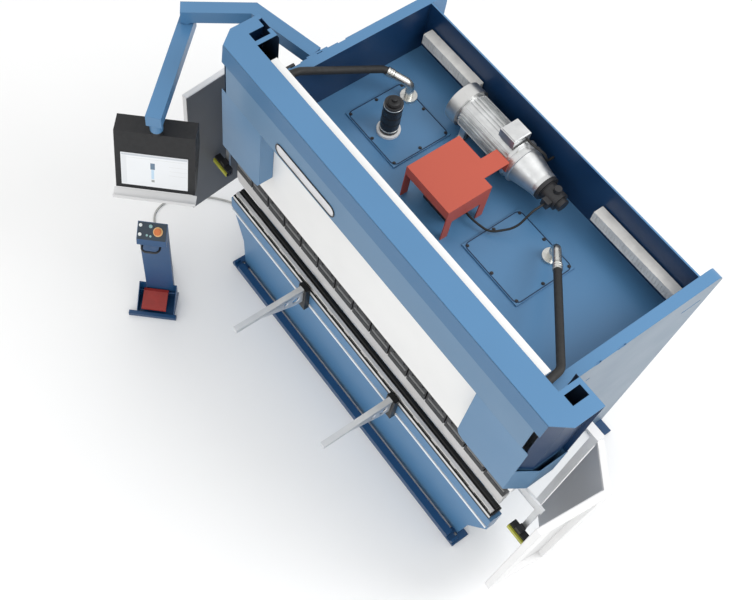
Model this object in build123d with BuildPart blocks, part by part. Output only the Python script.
from build123d import *
import os
from math import atan2, cos, degrees, hypot, radians, sin

# A hydraulic press brake with its guards, operator panel and foot console.
# Millimetres. X runs along the bending length, Y to the back, Z up from the floor.
# The origin is the centre of the four anchor holes, on the floor.

# ---- Driving dimensions ----
FRAME_IN, FRAME_OUT = 1300, 1380  # the side frames' two faces along X
FRAME_TOP = 2425
FRAME_REAR = 858
BED_TOP = 860
BEND_Y = -715  # the plane the punch and the die share
DIE_TOP = 960
DIE_V = 24
TIP_Z = 1078  # punch tip with the ram fully up
RAM_TOP, RAM_BOTTOM = 2705, 1450
RAM_FRONT, RAM_BACK = -750, -690
COVER_TOP = 2745
COVER_FRONT = -870
SHEET = 4
CYL_X, CYL_Y = 1490, -690
ROD_R = 70
FLOOR_OF_TROUGH = 2000
ANCHOR_X, ANCHOR_Y = 1440, 750
TOOL_PITCH = 208
TOOL_COUNT = 15
TOOL_LENGTHS = (835, 835, 835, 415, 200)
ARM_TOP = DIE_TOP
ARM_X = (-579, 511)
MOTOR_Y, MOTOR_Z = 500, 2200
GUARD_LOW, GUARD_TOP = 500, 1930
GUARD_HINGE = (1660, -270)
GUARD_PLAN = ((1660, -270), (1935, -465), (1885, -960))
PENDANT_PIVOT = (-2198, -735)
PANEL_PIVOT = (-1650, -1338)
CORD_R = 9

# The operator panel and the foot console face the same way, turned from the machine.
FACING = degrees(atan2(0.743, 0.669))
ALONG = (cos(radians(FACING)), sin(radians(FACING)), 0)
BACKWARD = (-ALONG[1], ALONG[0], 0)
PANEL_AT = (-1749, -1269)
CONSOLE_AT = (-1537, -1391)

TURN = {"x": (0, 90, 0), "y": (90, 0, 0), "z": (0, 0, 0)}


# ---- Helpers ----
def block(x0, x1, y0, y1, z0, z1, mode=Mode.ADD):
    """A box given by its limits along X, Y and Z."""
    with Locations(((x0 + x1) / 2, (y0 + y1) / 2, (z0 + z1) / 2)):
        Box(x1 - x0, y1 - y0, z1 - z0, mode=mode)


def round_bar(axis, low, high, first, second, radius, mode=Mode.ADD):
    """A cylinder along one axis; first and second place it on the other two."""
    middle = (low + high) / 2
    place = {
        "x": (middle, first, second),
        "y": (first, middle, second),
        "z": (first, second, middle),
    }[axis]
    with Locations(place):
        Cylinder(radius, high - low, rotation=TURN[axis], mode=mode)


def side_profile(points, x0, x1, mode=Mode.ADD):
    """A (y, z) outline extruded along X."""
    with BuildSketch(Plane.YZ.offset(x0)) as outline:
        with BuildLine():
            Polyline(*points, close=True)
        make_face()
    extrude(outline.sketch, amount=x1 - x0, mode=mode)


def front_profile(points, y0, y1, mode=Mode.ADD):
    """An (x, z) outline extruded along Y."""
    with BuildSketch(Plane.XZ.offset(-y1)) as outline:
        with BuildLine():
            Polyline(*points, close=True)
        make_face()
    extrude(outline.sketch, amount=y1 - y0, mode=mode)


def plan_profile(points, z0, z1, mode=Mode.ADD):
    """An (x, y) outline extruded upward."""
    with BuildSketch(Plane.XY.offset(z0)) as outline:
        with BuildLine():
            Polyline(*points, close=True)
        make_face()
    extrude(outline.sketch, amount=z1 - z0, mode=mode)


def strip(points, left, right):
    """The outline of a band along a plan path, between two offsets to its left side."""
    sides = []
    for gap in (left, right):
        row = []
        for i, (x, y) in enumerate(points):
            turns = []
            if i > 0:
                turns.append((x - points[i - 1][0], y - points[i - 1][1]))
            if i < len(points) - 1:
                turns.append((points[i + 1][0] - x, points[i + 1][1] - y))
            normals = [(-b / hypot(a, b), a / hypot(a, b)) for a, b in turns]
            nx = sum(n[0] for n in normals)
            ny = sum(n[1] for n in normals)
            size = hypot(nx, ny)
            nx, ny = nx / size, ny / size
            spread = nx * normals[0][0] + ny * normals[0][1]
            row.append((x + nx * gap / spread, y + ny * gap / spread))
        sides.append(row)
    return sides[0] + sides[1][::-1]


def between(a, b, distance):
    """The point at a distance from a towards b, in plan."""
    size = hypot(b[0] - a[0], b[1] - a[1])
    return (
        a[0] + (b[0] - a[0]) * distance / size,
        a[1] + (b[1] - a[1]) * distance / size,
    )


def mirrored(points, side):
    """Plan or front points moved to the left (-1) or right (1) of the machine."""
    return [(side * p[0], p[1]) for p in points]


def turned_block(at, u0, u1, v0, v1, z0, z1, mode=Mode.ADD):
    """A box in the turned frame of the panel or the console; v runs backward."""
    u, v = (u0 + u1) / 2, (v0 + v1) / 2
    place = (
        at[0] + ALONG[0] * u + BACKWARD[0] * v,
        at[1] + ALONG[1] * u + BACKWARD[1] * v,
        (z0 + z1) / 2,
    )
    with Locations(Location(place, (0, 0, FACING))):
        Box(u1 - u0, v1 - v0, z1 - z0, mode=mode)


def turned_point(at, u, v, z):
    """A point of the turned frame, in the machine's frame."""
    return (
        at[0] + ALONG[0] * u + BACKWARD[0] * v,
        at[1] + ALONG[1] * u + BACKWARD[1] * v,
        z,
    )


def turned_profile(at, points, u0, u1, mode=Mode.ADD):
    """A (v, z) outline extruded along the turned frame's width."""
    start = Plane(origin=turned_point(at, u0, 0, 0), x_dir=BACKWARD, z_dir=ALONG)
    with BuildSketch(start) as outline:
        with BuildLine():
            Polyline(*points, close=True)
        make_face()
    extrude(outline.sketch, amount=u1 - u0, mode=mode)


def tube(points, radii, radius):
    """A round bar swept along straight runs joined by tangent arcs."""
    with BuildLine() as path:
        FilletPolyline(*points, radius=radii)
    start = Plane(origin=path.line @ 0, z_dir=path.line % 0)
    with BuildSketch(start) as section:
        Circle(radius)
    sweep(sections=section.sketch, path=path.line)


def arc_radii(points, share=0.45):
    """Each corner's radius: the arc uses this share of the shorter run beside it."""
    radii = []
    for a, b, c in zip(points, points[1:], points[2:]):
        one = Vector(*b) - Vector(*a)
        two = Vector(*c) - Vector(*b)
        half = radians(one.get_angle(two)) / 2
        radii.append(round(share * min(one.length, two.length) * cos(half) / sin(half), 2))
    return radii


# ---- Side frames: thick C-shaped plates with a throat for deep sheets ----
FRAME_OUTLINE = (
    (-665, 0),
    (-665, BED_TOP),
    (-305, BED_TOP),
    (-305, 1560),
    (-590, 1560),
    (-590, FRAME_TOP),
    (FRAME_REAR, FRAME_TOP),
    (FRAME_REAR, 0),
)
TAB_SLOTS = ((-442, -356), (-225, -180), (-49, 18))


def frame_plate(side):
    x0 = FRAME_IN if side > 0 else -FRAME_OUT
    with BuildSketch(Plane.YZ.offset(x0)) as outline:
        with BuildLine():
            Polyline(*FRAME_OUTLINE, close=True)
        make_face()
        throat = [v for v in outline.vertices() if abs(v.X + 305) < 1]
        fillet(throat, radius=60)
        rear = [v for v in outline.vertices() if v.X > 850 and v.Y > 2400]
        fillet(rear, radius=80)
    extrude(outline.sketch, amount=FRAME_OUT - FRAME_IN)
    skin = (FRAME_OUT - 8, FRAME_OUT) if side > 0 else (-FRAME_OUT, 8 - FRAME_OUT)
    for y0, y1 in TAB_SLOTS:
        block(*skin, y0, y1, FRAME_TOP - 14, FRAME_TOP, Mode.SUBTRACT)
    block(*skin, 604, 770, 2165, 2185, Mode.SUBTRACT)
    block(*skin, -200, -170, 2154, 2174, Mode.SUBTRACT)


with BuildPart() as side_frame_left:
    frame_plate(-1)
    round_bar("x", -1400, -FRAME_OUT, 20, 110, 16)
side_frame_left.part.label = "side_frame_left"

with BuildPart() as side_frame_right:
    frame_plate(1)
side_frame_right.part.label = "side_frame_right"

# ---- Oil tank: its lid is the trough's floor, and its rear wall ties the frames ----
with BuildPart() as oil_tank:
    block(-FRAME_IN, FRAME_IN, -540, 700, 1620, FLOOR_OF_TROUGH)
    block(-FRAME_IN + 8, FRAME_IN - 8, -532, 692, 1630, FLOOR_OF_TROUGH - 10, Mode.SUBTRACT)
    block(-FRAME_IN, FRAME_IN, 700, 712, 1620, FRAME_TOP)
    block(-FRAME_IN, FRAME_IN, -540, -532, FLOOR_OF_TROUGH, 2050)
oil_tank.part.label = "oil_tank"

# ---- Bed: the lower beam in front of the frames ----
BED_OUTLINE = (
    (-1376, 0),
    (1376, 0),
    (1376, 31),
    (1443, 31),
    (1470, 330),
    (1600, 600),
    (1600, BED_TOP),
    (-1600, BED_TOP),
    (-1600, 600),
    (-1470, 330),
    (-1443, 31),
    (-1376, 31),
)
with BuildPart() as bed_beam:
    front_profile(BED_OUTLINE, -735, -665)
    block(-1600, 1600, -769, -735, 734, BED_TOP)
bed_beam.part.label = "bed_beam"

# ---- Floor beam along the front and the four anchor feet ----
with BuildPart() as floor_beam:
    block(-1379, 1379, -828, -770, 0, 70)
    for side in (-1, 1):
        x0, x1 = sorted((side * 1379, side * 1482))
        block(x0, x1, -828, -770, 0, 70)
    for x in (-ANCHOR_X, ANCHOR_X):
        for y in (-ANCHOR_Y, ANCHOR_Y):
            block(x - 60, x + 60, y - 78, y + 78, 0, 30)
            round_bar("z", -1, 31, x, y, 14, Mode.SUBTRACT)
    for x in (-ANCHOR_X, ANCHOR_X):
        block(x - 22, x + 22, -828, -770, 30, 70, Mode.SUBTRACT)
floor_beam.part.label = "floor_beam"

# ---- Rail the support arms slide on ----
with BuildPart() as arm_rail:
    block(-1593, 1593, -769, -735, 684, 712)
arm_rail.part.label = "arm_rail"

# ---- Die holder and the dies ----
with BuildPart() as die_holder:
    block(-1575, 1575, -768, -662, BED_TOP, 918)
die_holder.part.label = "die_holder"

HALF_V = DIE_V / 2
DIE_OUTLINE = (
    (BEND_Y - 38, 918),
    (BEND_Y + 38, 918),
    (BEND_Y + 38, DIE_TOP),
    (BEND_Y + HALF_V, DIE_TOP),
    (BEND_Y + 1, DIE_TOP - HALF_V + 1),
    (BEND_Y - 1, DIE_TOP - HALF_V + 1),
    (BEND_Y - HALF_V, DIE_TOP),
    (BEND_Y - 38, DIE_TOP),
)


def tool_run(outline):
    """Standard tool lengths laid end to end along the bending length."""
    x = -sum(TOOL_LENGTHS) / 2
    for length in TOOL_LENGTHS:
        side_profile(outline, x + 0.25, x + length - 0.25)
        x += length


with BuildPart() as dies:
    tool_run(DIE_OUTLINE)
    for i in range(TOOL_COUNT):
        x = (i - (TOOL_COUNT - 1) / 2) * TOOL_PITCH
        block(x - 75, x + 75, BEND_Y - 38, BEND_Y - 32, 922, 936, Mode.SUBTRACT)
dies.part.label = "dies"

# ---- Ram: the moving upper beam, with an ear below each cylinder ----
RAM_OUTLINE = (
    (-1580, RAM_BOTTOM),
    (1580, RAM_BOTTOM),
    (1580, 1640),
    (1310, 1640),
    (1310, RAM_TOP),
    (-1310, RAM_TOP),
    (-1310, 1640),
    (-1580, 1640),
)
with BuildPart() as ram_plate:
    front_profile(RAM_OUTLINE, RAM_FRONT, RAM_BACK)
    for side in (-1, 1):
        x0, x1 = sorted((side * 1400, side * 1580))
        block(x0, x1, RAM_BACK, -620, 1500, 1640)
ram_plate.part.label = "ram_plate"

GIB_OUTLINE = ((1250, -690), (1372, -690), (1372, -650.4), (1311.6, -650.4),
               (1311.6, -597), (1250, -597))
with BuildPart() as ram_stiffener:
    block(-1309, 1309, RAM_BACK, -610, RAM_TOP - 14, RAM_TOP)
    block(-1240, 1240, -624, -610, 2330, RAM_TOP - 14)
    for x in (-1240, -620, 0, 620, 1240):
        block(x - 7, x + 7, RAM_BACK, -624, 2330, RAM_TOP - 14)
    for side in (-1, 1):
        plan_profile(mirrored(GIB_OUTLINE, side), 1700, 2300)
ram_stiffener.part.label = "ram_stiffener"

# ---- Cylinders: bolted to the frames' outer faces by a bracket plate ----
with BuildPart() as cylinders:
    for side in (-1, 1):
        x0, x1 = sorted((side * FRAME_OUT, side * 1400))
        block(x0, x1, -790, -400, 1760, FRAME_TOP)
        round_bar("z", 1760, 2430, side * CYL_X, CYL_Y, 105)
        round_bar("z", 1800, 2400, side * CYL_X, CYL_Y, 90, Mode.SUBTRACT)
        round_bar("z", 1759, 1801, side * CYL_X, CYL_Y, ROD_R + 0.05, Mode.SUBTRACT)
cylinders.part.label = "cylinders"

with BuildPart() as piston_rods:
    for side in (-1, 1):
        x0, x1 = sorted((side * 1402, side * 1578))
        block(x0, x1, -752, -622, 1640, 1680)
        round_bar("z", 1680, 2310, side * CYL_X, CYL_Y, ROD_R)
        round_bar("z", 2310, 2380, side * CYL_X, CYL_Y, 89.7)
piston_rods.part.label = "piston_rods"

# ---- Straight guides: two for the ram, two for the back gauge ----
with BuildPart() as guide_rails:
    for side in (-1, 1):
        x0, x1 = sorted((side * 1312, side * 1372))
        block(x0, x1, -650, -590, 1600, 2350)
        x0, x1 = sorted((side * 1240, side * FRAME_IN))
        block(x0, x1, -480, 330, 830, 870)
guide_rails.part.label = "guide_rails"

# ---- Punch clamps and punches ----
with BuildPart() as punch_clamps:
    for i in range(TOOL_COUNT):
        x = (i - (TOOL_COUNT - 1) / 2) * TOOL_PITCH
        block(x - 98, x + 98, -748, -682, 1281, RAM_BOTTOM)
        block(x - 90, x + 90, -748, -742, 1340, 1378, Mode.SUBTRACT)
        block(x - 86, x + 86, -747, -742, 1344, 1374)
punch_clamps.part.label = "punch_clamps"

PUNCH_OUTLINE = (
    (-740, 1281),
    (-740, 1165),
    (-724, 1094),
    (-716, TIP_Z),
    (-714, TIP_Z),
    (-706, 1094),
    (-700, 1165),
    (-690, 1182),
    (-690, 1281),
)
with BuildPart() as punches:
    tool_run(PUNCH_OUTLINE)
punches.part.label = "punches"

# ---- Laser guarding: an upright on each end of the ram carries a unit ----
with BuildPart() as laser_brackets:
    for side in (-1, 1):
        x0, x1 = sorted((side * 1580, side * 1800))
        block(x0, x1, -690, -676, 1455, 1535)
        x0, x1 = sorted((side * 1750, side * 1790))
        block(x0, x1, -690, -676, 1000, 1455)
laser_brackets.part.label = "laser_brackets"


def laser_unit(side):
    x0, x1 = sorted((side * 1700, side * 1876))
    block(x0, x1, -742, -690.6, 1000, 1075)
    block(x0, x1, -756, -742, 1012, 1052)
    x0, x1 = sorted((side * 1745, side * 1795))
    block(x0, x1, -742, -690.6, 1075, 1110)


with BuildPart() as laser_left:
    laser_unit(-1)
laser_left.part.label = "laser_left"

with BuildPart() as laser_right:
    laser_unit(1)
laser_right.part.label = "laser_right"

# ---- Folded cover over the ram and cylinders ----
TOP_HALF = ((0, -857), (1552, -857), (1637, -746), (1637, -525), (1430, -525),
            (1430, -679), (0, -679))
with BuildPart() as cover_top:
    for side in (-1, 1):
        plan_profile(mirrored(TOP_HALF, side), COVER_TOP - SHEET, COVER_TOP)
        x0, x1 = sorted((side * 1463, side * 1538))
        block(x0, x1, -671, -553, COVER_TOP - 9, COVER_TOP + 1, Mode.SUBTRACT)
    block(-1600, -1500, -553, -500, COVER_TOP - 9, COVER_TOP + 1, Mode.SUBTRACT)
cover_top.part.label = "cover_top"

FACE_OUTLINE = (
    (-861, COVER_TOP - SHEET),
    (-857, COVER_TOP - SHEET),
    (-866, 2590),
    (-866, 2324),
    (-790, 2324),
    (-790, 2320),
    (-870, 2320),
    (-870, 2590),
)
with BuildPart() as cover_face:
    side_profile(FACE_OUTLINE, -1505, 1505)
    for side in (-1, 1):
        x0, x1 = sorted((side * 1104, side * 1506))
        block(x0, x1, -866, -789, 2319, 2325, Mode.SUBTRACT)
        x0, x1 = sorted((side * 1505, side * 1552))
        side_profile(FACE_OUTLINE[:3] + ((-870, 2590),), x0, x1)
cover_face.part.label = "cover_face"


def cowl(side):
    """The sheet box round one cylinder, open at its foot and above its end panel."""
    face = ((1100, 2320), (1100, 1740), (1120, 1704), (1160, 1690), (1557, 1690),
            (1557, 2320))
    front_profile(mirrored(face, side), COVER_FRONT, COVER_FRONT + SHEET)
    x0, x1 = sorted((side * 1100, side * (1100 + SHEET)))
    block(x0, x1, COVER_FRONT + SHEET, -754, 1740, 2320)
    bend = ((1557, -870), (1640, -745), (1640, -525), (1402, -525))
    inner = ((1402, -529), (1636, -529), (1636, -743.8), (1554.9, -866))
    plan_profile(mirrored(bend + inner, side), 1690, 2020)
    x0, x1 = sorted((side * 1402, side * 1636))
    block(x0, x1, -529, -525, 2020, 2425)
    x0, x1 = sorted((side * 1580, side * 1636))
    block(x0, x1, -529, -525, 2425, COVER_TOP - SHEET)
    liner = ((1542, -856), (1603, -770), (1603, -529), (1600, -529), (1600, -769),
             (1538.3, -856))
    plan_profile(mirrored(liner, side), 1690, 2740)
    foot = ((1535, -866), (1554.9, -866), (1636, -743.8), (1636, -529), (1603, -529),
            (1603, -770))
    plan_profile(mirrored(foot, side), 1690, 1693)


with BuildPart() as cowl_left:
    cowl(-1)
cowl_left.part.label = "cowl_left"

with BuildPart() as cowl_right:
    cowl(1)
cowl_right.part.label = "cowl_right"

# ---- Covers bolted on the tank lid ----
TANK_COVERS = ((-1110, -560), (170, 720))
COVER_Y = (-135, 368)
with BuildPart() as tank_covers:
    for x0, x1 in TANK_COVERS:
        block(x0, x1, *COVER_Y, FLOOR_OF_TROUGH, FLOOR_OF_TROUGH + 12)
tank_covers.part.label = "tank_covers"

with BuildPart() as cover_bolts:
    for x0, x1 in TANK_COVERS:
        for x in (x0 + 28, (x0 + x1) / 2, x1 - 28):
            for y in (COVER_Y[0] + 24, sum(COVER_Y) / 2, COVER_Y[1] - 24):
                if x == (x0 + x1) / 2 and y == sum(COVER_Y) / 2:
                    continue
                with Locations((x, y, FLOOR_OF_TROUGH + 16)):
                    Cylinder(9, 8)
cover_bolts.part.label = "cover_bolts"

# ---- Filler and air filter ----
with BuildPart() as air_filter:
    round_bar("z", 2012, 2032, -830, 27, 85)
    round_bar("z", 2032, 2310, -830, 27, 66)
    for z in (2110, 2180, 2250):
        round_bar("z", z, z + 22, -830, 27, 69)
    round_bar("z", 2310, 2322, -830, 27, 50)
air_filter.part.label = "air_filter"

# ---- Pipe elbows, their flanges and clamps, and the blocks on the cylinders ----
ELBOWS = (
    ((-978, 320, 2030), (-978, 320, 2150), (-1082, 240, 2200)),
    ((570, 290, 2030), (570, 290, 2160), (685.52, 174.48, 2208.32)),
)
HOSE_ROUTES = (
    (
        ((-1082.6, 239.6, 2200.3), (-1141.2, 194.5, 2228.5), (-1292, -430, 2470),
         (-1312, -600, 2484), (-1368, -600, 2484)),
        (90, 100, 50),
    ),
    (
        ((686, 174, 2208.5), (1292, -432, 2462), (1312, -600, 2484),
         (1368, -600, 2484)),
        (100, 50),
    ),
)
with BuildPart() as hose_fittings:
    for base, corner, end in ELBOWS:
        tube((base, corner, end), (70,), 30)
        round_bar("z", base[2] - 18, base[2] + 4, base[0], base[1], 62)
    for side in (-1, 1):
        x0, x1 = sorted((side * 1397, side * 1560))
        block(x0, x1, -770, -560, 2431, 2535)
        x0, x1 = sorted((side * 1368, side * 1397))
        round_bar("x", x0, x1, -600, 2484, 34)
hose_fittings.part.label = "hose_fittings"

MOTOR_CABLE = ((-89.9, 540, 2366), (-20, 540, 2366), (50, 600, 2310), (60, 640, 2210),
               (60, 699.9, 2210))
DRAIN_HOSE = ((300, 403.5, 2200), (300, 310, 2200), (300, 200, 2090), (210, 60, 2040),
              (90, 20, 2060), (-19.5, 20, 2060))
with BuildPart() as hoses:
    for points, radii in HOSE_ROUTES:
        tube(points, radii, 27)
    tube(MOTOR_CABLE, arc_radii(MOTOR_CABLE, 0.4), 9)
    tube(DRAIN_HOSE, arc_radii(DRAIN_HOSE, 0.4), 8)
hoses.part.label = "hoses"

# ---- Motor and pump, lying along the trough ----
with BuildPart() as motor_body:
    round_bar("x", -560, -60, MOTOR_Y, MOTOR_Z, 116)
    round_bar("x", -545, -75, MOTOR_Y, MOTOR_Z, 70, Mode.SUBTRACT)
    round_bar("x", -561, -59, MOTOR_Y, MOTOR_Z, 19.05, Mode.SUBTRACT)
    with BuildSketch(Plane.YZ.offset(-545)):
        with Locations((MOTOR_Y, MOTOR_Z)):
            with PolarLocations(120, 28, start_angle=6):
                Rectangle(20, 4)
    extrude(amount=470)
    round_bar("x", -80, -60, MOTOR_Y, MOTOR_Z, 150)
    round_bar("x", -100, -40, MOTOR_Y, MOTOR_Z, 19.05, Mode.SUBTRACT)
    block(-220, -100, MOTOR_Y - 55, MOTOR_Y + 55, 2290, 2334)
    for x in (-500, -180):
        block(x - 30, x + 30, MOTOR_Y - 110, MOTOR_Y + 110, FLOOR_OF_TROUGH, 2012)
        for y in (MOTOR_Y - 85, MOTOR_Y + 85):
            block(x - 25, x + 25, y - 12, y + 12, 2012, 2128)
motor_body.part.label = "motor_body"

with BuildPart() as fan_cowl:
    round_bar("x", -655, -561, MOTOR_Y, MOTOR_Z, 148)
    round_bar("x", -649, -560, MOTOR_Y, MOTOR_Z, 144, Mode.SUBTRACT)
    for radius in (50, 80, 110):
        with BuildSketch(Plane.YZ.offset(-656)):
            with Locations((MOTOR_Y, MOTOR_Z)):
                with PolarLocations(radius, int(radius / 5)):
                    Rectangle(18, 9)
        extrude(amount=10, mode=Mode.SUBTRACT)
    round_bar("x", -567, -561, MOTOR_Y, MOTOR_Z, 144.5)
    round_bar("x", -570, -560, MOTOR_Y, MOTOR_Z, 100, Mode.SUBTRACT)
fan_cowl.part.label = "fan_cowl"

with BuildPart() as motor_rotor:
    round_bar("x", -605, 150, MOTOR_Y, MOTOR_Z, 19)
    round_bar("x", -490, -130, MOTOR_Y, MOTOR_Z, 69.4)
    round_bar("x", -635, -600, MOTOR_Y, MOTOR_Z, 34)
    for turn in range(6):
        with Locations(Location((-618, MOTOR_Y, MOTOR_Z), (turn * 60, 0, 0))):
            with Locations((0, 0, 80)):
                Box(26, 5, 110)
    round_bar("x", 60, 130, MOTOR_Y, MOTOR_Z, 42)
motor_rotor.part.label = "motor_rotor"

with BuildPart() as bell_housing:
    with BuildSketch(Plane.XY):
        with BuildLine():
            Polyline((-59, 0), (-59, 140), (-30, 140), (60, 118), (170, 96), (200, 96),
                     (200, 0), close=True)
        make_face()
    revolve(axis=Axis.X)
    with Locations((60, 0, 0)):
        Cylinder(70, 240, rotation=(0, 90, 0), mode=Mode.SUBTRACT)
bell_housing.part = bell_housing.part.moved(Location((0, MOTOR_Y, MOTOR_Z)))
bell_housing.part.label = "bell_housing"

with BuildPart() as pump:
    round_bar("x", 201, 226, MOTOR_Y, MOTOR_Z, 92)
    round_bar("x", 226, 350, MOTOR_Y, MOTOR_Z, 66)
    round_bar("x", 350, 384, MOTOR_Y, MOTOR_Z, 46)
    block(270, 330, MOTOR_Y - 96, MOTOR_Y - 20, MOTOR_Z - 30, MOTOR_Z + 30)
    round_bar("z", MOTOR_Z + 50, MOTOR_Z + 98, 296, MOTOR_Y, 26)
pump.part.label = "pump"

with BuildPart() as terminal_box:
    block(-230, -90, MOTOR_Y - 74, MOTOR_Y + 74, 2334, 2400)
    block(-222, -98, MOTOR_Y - 66, MOTOR_Y + 66, 2400, 2408)
terminal_box.part.label = "terminal_box"

# ---- Proportional valves under a folded cover ----
with BuildPart() as valve_block:
    block(-270, -20, -110, 110, 2000, 2130)
    for x in (-215, -145, -75):
        block(x - 25, x + 25, -80, 60, 2130, 2230)
        round_bar("z", 2230, 2280, x, -20, 20)
valve_block.part.label = "valve_block"

VALVE_TOP = ((-370, -230), (60, -230), (60, 130), (-20, 130), (-20, 345), (-150, 345),
             (-150, 210), (-370, 210))
with BuildPart() as valve_cover:
    plan_profile(VALVE_TOP, 2322, 2330)
    block(-370, -362, -230, 210, 2180, 2322)
    block(52, 60, -230, 130, 2180, 2322)
    block(-370, 60, -230, -222, 2250, 2322)
    block(-150, -20, 337, 345, 2230, 2322)
    for x, y in ((-366, -200), (56, -200), (56, 100), (-366, 180)):
        block(x - 4, x + 4, y - 30, y + 30, FLOOR_OF_TROUGH, 2180)
valve_cover.part.label = "valve_cover"

# ---- Cable ducts against the rear wall ----
with BuildPart() as cable_ducts:
    for x0, x1 in ((-1227, -664), (540, 1270)):
        block(x0, x1, 612, 690, 2150, 2240)
        count = int((x1 - x0) / 25)
        for i in range(count):
            x = x0 + (i + 0.5) * (x1 - x0) / count
            block(x - 4, x + 4, 611, 616, 2160, 2226, Mode.SUBTRACT)
        for x in (x0 + 100, x1 - 100):
            block(x - 15, x + 15, 690, 700, 2170, 2220)
cable_ducts.part.label = "cable_ducts"

# ---- Side guards on vertical hinges ----
HX, HY = GUARD_HINGE
with BuildPart() as guard_brackets:
    for side in (-1, 1):
        x0, x1 = sorted((side * FRAME_OUT, side * 1690))
        block(x0, x1, HY - 30, HY + 30, GUARD_TOP + 1, GUARD_TOP + 31)
        block(x0, x1, HY - 30, HY + 30, GUARD_LOW - 31, GUARD_LOW - 1)
        round_bar("z", GUARD_TOP - 40, GUARD_TOP + 1, side * HX, HY, 9)
        round_bar("z", GUARD_LOW - 1, GUARD_LOW + 40, side * HX, HY, 9)
guard_brackets.part.label = "guard_brackets"


def guard_frame(side):
    corner, front = GUARD_PLAN[1], GUARD_PLAN[2]
    start = between(GUARD_HINGE, corner, 20)
    rail = (start, corner, front)
    for z0, z1 in ((GUARD_LOW, GUARD_LOW + 60), (GUARD_TOP - 60, GUARD_TOP)):
        plan_profile(mirrored(strip(rail, 0, 44), side), z0, z1)
    elbow = (between(corner, start, 55), corner, between(corner, front, 55))
    plan_profile(mirrored(strip(elbow, 0, 44), side), GUARD_LOW, GUARD_TOP)
    post = (between(front, corner, 96), front)
    plan_profile(mirrored(strip(post, 0, 44), side), GUARD_LOW, GUARD_TOP)
    block(side * HX - 26, side * HX + 26, HY - 26, HY + 26, GUARD_LOW, GUARD_TOP)
    round_bar("z", GUARD_TOP - 60, GUARD_TOP + 1, side * HX, HY, 9.05, Mode.SUBTRACT)
    round_bar("z", GUARD_LOW - 1, GUARD_LOW + 60, side * HX, HY, 9.05, Mode.SUBTRACT)


def guard_panel(side):
    corner, front = GUARD_PLAN[1], GUARD_PLAN[2]
    sheet = (between(GUARD_HINGE, corner, 45), corner, front)
    plan_profile(mirrored(strip(sheet, -5, 0), side), GUARD_LOW + 10, GUARD_TOP - 6)


with BuildPart() as guard_left:
    guard_frame(-1)
guard_left.part.label = "guard_left"

with BuildPart() as guard_left_panel:
    guard_panel(-1)
guard_left_panel.part.label = "guard_left_panel"

with BuildPart() as guard_right:
    guard_frame(1)
guard_right.part.label = "guard_right"

with BuildPart() as guard_right_panel:
    guard_panel(1)
guard_right_panel.part.label = "guard_right_panel"


# ---- Sheet support arms ----
def arm_profile(x):
    block(x - 22, x + 22, -1426, -813, ARM_TOP - 40, ARM_TOP)
    for side in (-1, 1):
        x0, x1 = sorted((x + side * 22, x + side * 17))
        block(x0, x1, -1427, -812, ARM_TOP - 26, ARM_TOP - 14, Mode.SUBTRACT)


def arm_bracket(x):
    """The carriage hooked on the rail and the pierced gusset under the profile."""
    block(x - 45, x + 45, -813, -769.6, 664, ARM_TOP - 4)
    block(x - 45, x + 45, -769.6, -742, 713, 732.4)
    block(x - 45, x + 45, -769.6, -742, 664, 683)
    gusset = ((-813, ARM_TOP - 40), (-1180, ARM_TOP - 40), (-1180, ARM_TOP - 60),
              (-900, 780), (-813, 770))
    side_profile(gusset, x + 10, x + 18)
    round_bar("x", x + 9, x + 19, -880, 855, 34, Mode.SUBTRACT)
    round_bar("x", x + 9, x + 19, -975, 878, 22, Mode.SUBTRACT)


with BuildPart() as arm_left_profile:
    arm_profile(ARM_X[0])
arm_left_profile.part.label = "arm_left_profile"

with BuildPart() as arm_left_bracket:
    arm_bracket(ARM_X[0])
arm_left_bracket.part.label = "arm_left_bracket"

with BuildPart() as arm_right_profile:
    arm_profile(ARM_X[1])
arm_right_profile.part.label = "arm_right_profile"

with BuildPart() as arm_right_bracket:
    arm_bracket(ARM_X[1])
arm_right_bracket.part.label = "arm_right_bracket"

# ---- Pendant arm: fixed part from the left frame, then the swinging part ----
PX, PY = PENDANT_PIVOT
ARM_PATH = ((-1397, -217), (-1940, -345), (-2226, -764))
with BuildPart() as pendant_arm_fixed:
    plan_profile(strip(ARM_PATH, -50, 50), 2320, 2420)
    block(-1392, -FRAME_OUT, -300, -130, 2280, 2424)
    round_bar("z", 2301, 2320, PX, PY, 44)
    round_bar("z", 2230, 2301, PX, PY, 15)
pendant_arm_fixed.part.label = "pendant_arm_fixed"

SWING = (between(PENDANT_PIVOT, PANEL_PIVOT, -52), between(PANEL_PIVOT, PENDANT_PIVOT, -48))
with BuildPart() as pendant_arm_swing:
    plan_profile(strip(SWING, -55, 55), 2200, 2300)
    round_bar("z", 2225, 2301, PX, PY, 15.05, Mode.SUBTRACT)
    round_bar("z", 2122, 2200, *PANEL_PIVOT, 46)
    round_bar("z", 2095, 2122, *PANEL_PIVOT, 15)
pendant_arm_swing.part.label = "pendant_arm_swing"

# ---- Operator panel ----
HOUSING_OUTLINE = ((0, 2080), (-142, 2080), (-282, 1610), (-190, 1600), (0, 1850))
LEAN = (-140, -470)


def on_front(share, proud):
    """A point down the leaning front face, at a height above it."""
    size = hypot(*LEAN)
    return (
        -142 + LEAN[0] * share + proud * LEAN[1] / size,
        2080 + LEAN[1] * share - proud * LEAN[0] / size,
    )


with BuildPart() as panel_housing:
    turned_profile(PANEL_AT, HOUSING_OUTLINE, -283, 283)
    round_bar("z", 2080, 2121, *PANEL_PIVOT, 42)
    round_bar("z", 2090, 2122, *PANEL_PIVOT, 15.05, Mode.SUBTRACT)
panel_housing.part.label = "panel_housing"

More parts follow.
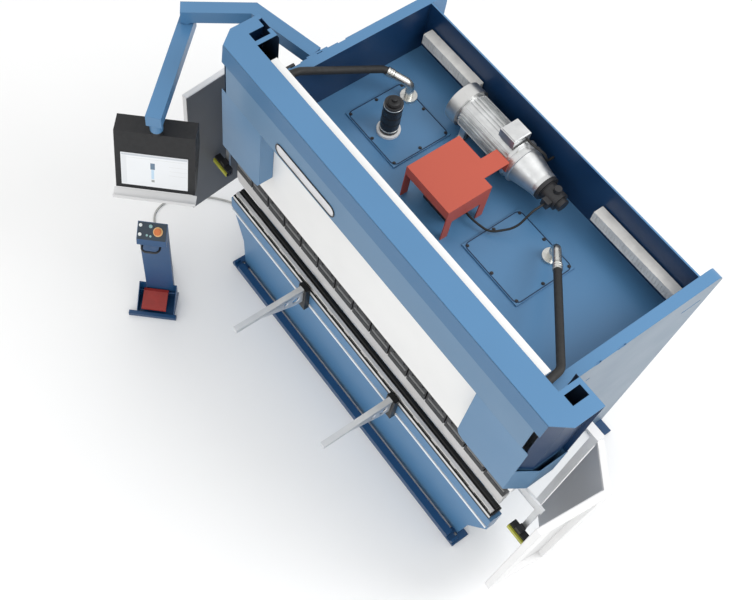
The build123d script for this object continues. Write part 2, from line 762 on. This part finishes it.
with BuildPart() as panel_screen:
    outline = (on_front(0.36, 0), on_front(0.36, 5), on_front(0.93, 5), on_front(0.93, 0))
    turned_profile(PANEL_AT, outline, -240, 232)
panel_screen.part.label = "panel_screen"

with BuildPart() as panel_shelf:
    turned_profile(PANEL_AT, ((-282, 1604), (-282, 1588), (-352, 1568), (-356, 1604),
                              (-350, 1604), (-346, 1580)), -296, 296)
panel_shelf.part.label = "panel_shelf"

# ---- Foot console ----
HEAD_OUTLINE = ((0, 1100), (-112, 1022), (-124, 958), (-40, 936), (-40, 8), (0, 8))
SLOPE = (-112, -78)
SLOPE_LONG = hypot(*SLOPE)
UP = Vector(
    BACKWARD[0] * SLOPE[1] / SLOPE_LONG,
    BACKWARD[1] * SLOPE[1] / SLOPE_LONG,
    -SLOPE[0] / SLOPE_LONG,
)


def on_head(u, depth):
    """The plane on the console's sloped head, at a width and a distance down it."""
    v = -depth
    z = 1100 + SLOPE[1] / SLOPE[0] * v
    return Plane(origin=turned_point(CONSOLE_AT, u, v, z), x_dir=ALONG, z_dir=UP)


def head_disc(u, depth, low, high, radius, mode=Mode.ADD):
    """A disc square to the sloped head, between two heights over it."""
    with BuildSketch(on_head(u, depth).offset(low)) as disc:
        Circle(radius)
    extrude(disc.sketch, amount=high - low, mode=mode)


BUTTONS = ((-204, 24), (-204, 82))
STOP_AT = (-68, 56)
HANDLE = [turned_point(CONSOLE_AT, u, v, z) for u, v, z in (
    (-196, -38, 890), (-196, -150, 900), (-56, -150, 900), (-56, -38, 890))]
with BuildPart() as console_column:
    turned_profile(CONSOLE_AT, HEAD_OUTLINE, -228, 0)
    for u, depth in BUTTONS:
        head_disc(u, depth, -14, 2, 13.4, Mode.SUBTRACT)
    head_disc(*STOP_AT, 0, 5, 37)
    head_disc(*STOP_AT, -22, 6, 11.4, Mode.SUBTRACT)
    head_disc(-126, 26, 0, 8, 14)
    head_disc(-150, 84, 0, 4, 9)
    head_disc(-122, 88, 0, 4, 9)
    tube(HANDLE, (40, 40), 9)
    turned_block(CONSOLE_AT, -72, -40, 0, 12, 28, 62)
console_column.part.label = "console_column"

with BuildPart() as button_upper:
    head_disc(*BUTTONS[0], -6, 9, 13)
button_upper.part.label = "button_upper"

with BuildPart() as button_lower:
    head_disc(*BUTTONS[1], -6, 9, 13)
button_lower.part.label = "button_lower"

with BuildPart() as stop_button:
    head_disc(*STOP_AT, -10, 14, 11)
    head_disc(*STOP_AT, 14, 30, 27)
stop_button.part.label = "stop_button"

WALL_OUTLINE = ((-40, 8), (-232, 8), (-232, 58), (-40, 205))
with BuildPart() as pedal_guard:
    turned_block(CONSOLE_AT, -284, 30, -232, 0, 0, 8)
    turned_block(CONSOLE_AT, -350, 48, -264, -232, 0, 38)
    for u in (-284, 24):
        turned_profile(CONSOLE_AT, WALL_OUTLINE, u, u + 6)
    turned_block(CONSOLE_AT, -284, -228.5, -46, -40, 8, 205)
    turned_block(CONSOLE_AT, 0.5, 30, -46, -40, 8, 205)
    for u in (-278, 12):
        turned_block(CONSOLE_AT, u, u + 12, -70, -50, 8, 110)
    start = Plane(origin=turned_point(CONSOLE_AT, -270, -60, 96), x_dir=BACKWARD, z_dir=ALONG)
    with BuildSketch(start):
        Circle(6)
    extrude(amount=284)
pedal_guard.part.label = "pedal_guard"

PEDAL_OUTLINE = ((-49, 86), (-49, 118), (-74, 120), (-222, 74), (-222, 58), (-80, 92))
with BuildPart() as pedal:
    turned_profile(CONSOLE_AT, PEDAL_OUTLINE, -246, -42)
    start = Plane(origin=turned_point(CONSOLE_AT, -250, -60, 96), x_dir=BACKWARD, z_dir=ALONG)
    with BuildSketch(start):
        Circle(6.05)
    extrude(amount=212, mode=Mode.SUBTRACT)
pedal.part.label = "pedal"

# ---- Cord from the console across the floor to the machine's left side ----
GLAND = turned_point(CONSOLE_AT, -56, 12, 45)
CORD_ROUTE = [
    GLAND,
    turned_point(CONSOLE_AT, -56, 110, 45),
    turned_point(CONSOLE_AT, -62, 220, CORD_R),
    (-1860, -1250, CORD_R),
    (-2060, -1222, CORD_R),
    (-2225, -1175, CORD_R),
    (-2320, -1100, CORD_R),
    (-2350, -960, CORD_R),
    (-2290, -780, CORD_R),
    (-2150, -590, CORD_R),
    (-1950, -445, CORD_R),
    (-1790, -290, CORD_R),
    (-1680, -160, CORD_R),
    (-1600, -50, 40),
    (-1510, 15, 95),
    (-1402, 20, 110),
]
CORD_RADII = arc_radii(CORD_ROUTE)
print("cord radii", CORD_RADII)
with BuildPart() as console_cord:
    tube(CORD_ROUTE, CORD_RADII, CORD_R)
console_cord.part.label = "console_cord"
print("cord volume", round(console_cord.part.volume))

# ---- Back gauge: a beam on the two guides carries two fingers ----
with BuildPart() as gauge_beam:
    block(-1234, 1234, -380, -300, 880, 940)
    for side in (-1, 1):
        x0, x1 = sorted((side * 1200, side * 1297))
        block(x0, x1, -420, -260, 870.4, 879)
        block(x0, x1, -380, -300, 879, 940)
gauge_beam.part.label = "gauge_beam"


def gauge_finger(x):
    block(x - 50, x + 50, -400, -299.6, 940.4, 985)
    block(x - 50, x + 50, -400, -380.4, 885, 940.4)
    block(x - 20, x + 20, -600, -400, 962, 982)
    block(x - 30, x + 30, -616, -600, 956, 990)


with BuildPart() as gauge_finger_left:
    gauge_finger(-480)
gauge_finger_left.part.label = "gauge_finger_left"

with BuildPart() as gauge_finger_right:
    gauge_finger(480)
gauge_finger_right.part.label = "gauge_finger_right"

# ---- Write one file for each sub-part ----
SUB_PARTS = (
    side_frame_left, side_frame_right, oil_tank, bed_beam, floor_beam, arm_rail,
    die_holder, dies, ram_plate, ram_stiffener, cylinders, piston_rods, guide_rails,
    punch_clamps, punches, laser_brackets, laser_left, laser_right, cover_top,
    cover_face, cowl_left, cowl_right, tank_covers, cover_bolts, air_filter,
    hose_fittings, hoses, motor_body, fan_cowl, motor_rotor, bell_housing, pump,
    terminal_box, valve_block, valve_cover, cable_ducts, guard_brackets, guard_left,
    guard_left_panel, guard_right, guard_right_panel, arm_left_profile,
    arm_left_bracket, arm_right_profile, arm_right_bracket, pendant_arm_fixed,
    pendant_arm_swing, panel_housing, panel_screen, panel_shelf, console_column,
    button_upper, button_lower, stop_button, pedal_guard, pedal, console_cord,
    gauge_beam, gauge_finger_left, gauge_finger_right,
)
os.makedirs("parts", exist_ok=True)
for sub in SUB_PARTS:
    export_step(sub.part, "parts/" + sub.part.label + ".step")
print(len(SUB_PARTS), "sub-parts written")
